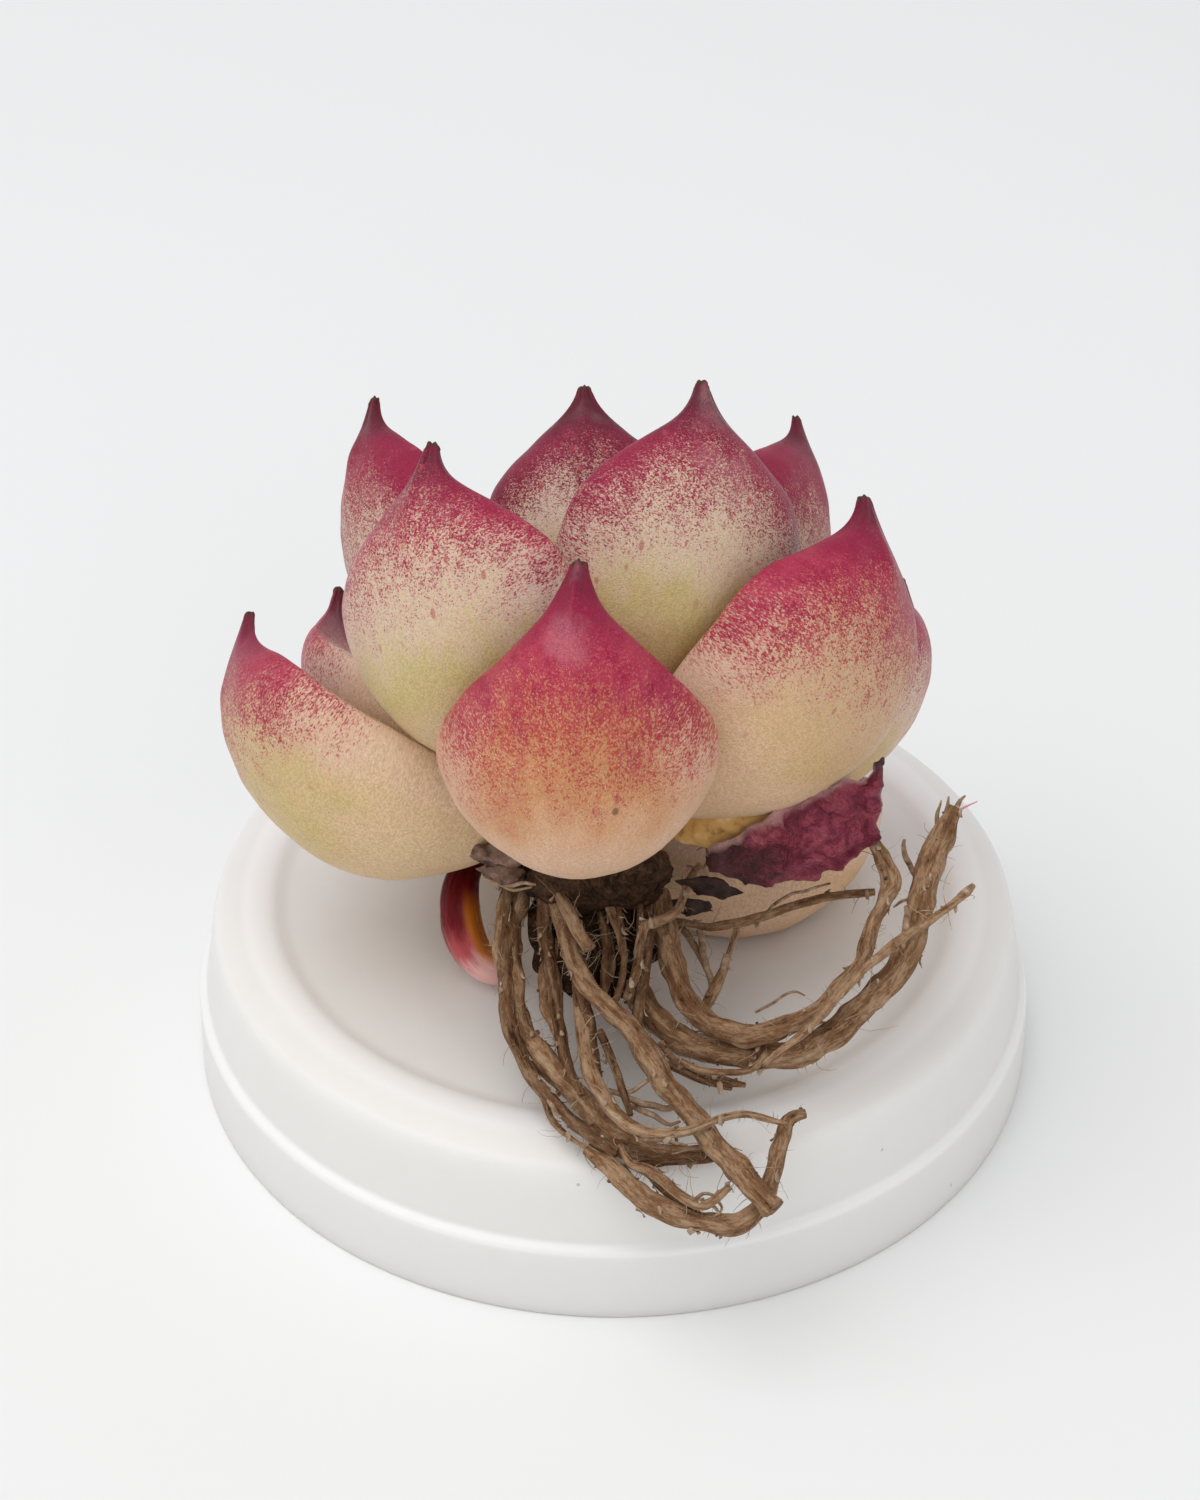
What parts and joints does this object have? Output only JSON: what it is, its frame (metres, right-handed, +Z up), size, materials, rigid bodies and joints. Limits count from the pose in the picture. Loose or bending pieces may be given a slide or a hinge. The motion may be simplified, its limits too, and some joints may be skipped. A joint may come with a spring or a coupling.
{
  "type": "bare-root succulent on a frosted lid",
  "caption": "Echeveria-like rosette of plump pointed leaves with its bare roots, lying back on an upturned frosted round lid.",
  "frame": {"origin": "middle of the whole object's footprint, at the table", "axes": "+Z up from the table, +X to the right seen from the roots' side, -Y towards the roots, which hang over the lid's front edge"},
  "size_m": [0.07, 0.0746, 0.0621],
  "materials": {
    "leaf": "waxy, soft sheen; yellow-green at the base to crimson at the tip",
    "dried_leaf": "wrinkled, matt, purple-maroon",
    "shrivelled_leaf": "shrivelled, slightly glossy, crimson to pink",
    "dried_scrap": "dry and papery, black-brown",
    "crown": "knobbly brown bark",
    "root": "fibrous tan bark",
    "lid": "frosted, translucent white"
  },
  "bodies": {
    "root": {"crown_and_stem": "crown", "dried_leaf_hook": "shrivelled_leaf", "dried_leaf_right": "dried_leaf", "dried_scrap_lower": "dried_scrap", "dried_scrap_upper": "dried_scrap", "frosted_lid": "lid", "leaf_01": "leaf", "leaf_02": "leaf", "leaf_03": "leaf", "leaf_04": "leaf", "leaf_05": "leaf", "leaf_06": "leaf", "leaf_07": "leaf", "leaf_08": "leaf", "leaf_09": "leaf", "leaf_10": "leaf", "leaf_11": "leaf", "leaf_12": "leaf", "leaf_13": "leaf", "leaf_14": "leaf", "leaf_15": "leaf", "leaf_16": "leaf", "leaf_17": "leaf", "leaf_18": "leaf", "leaf_19": "leaf", "leaf_20": "leaf", "leaf_21": "leaf", "old_leaf_base": "dried_scrap", "root_behind_long": "root", "root_behind_short": "root", "root_centre_bent": "root", "root_centre_fine": "root", "root_centre_inner": "root", "root_fine_pale": "root", "root_front_long": "root", "root_front_stub": "root", "root_left_inner": "root", "root_left_main": "root", "root_left_thin": "root", "root_lower_loop": "root", "root_right_inner": "root", "root_right_outer": "root", "root_small_lower": "root", "root_small_upper": "root", "root_tangle": "root", "root_thin_dark": "root", "root_twig": "root"}
  },
  "joints": []
}
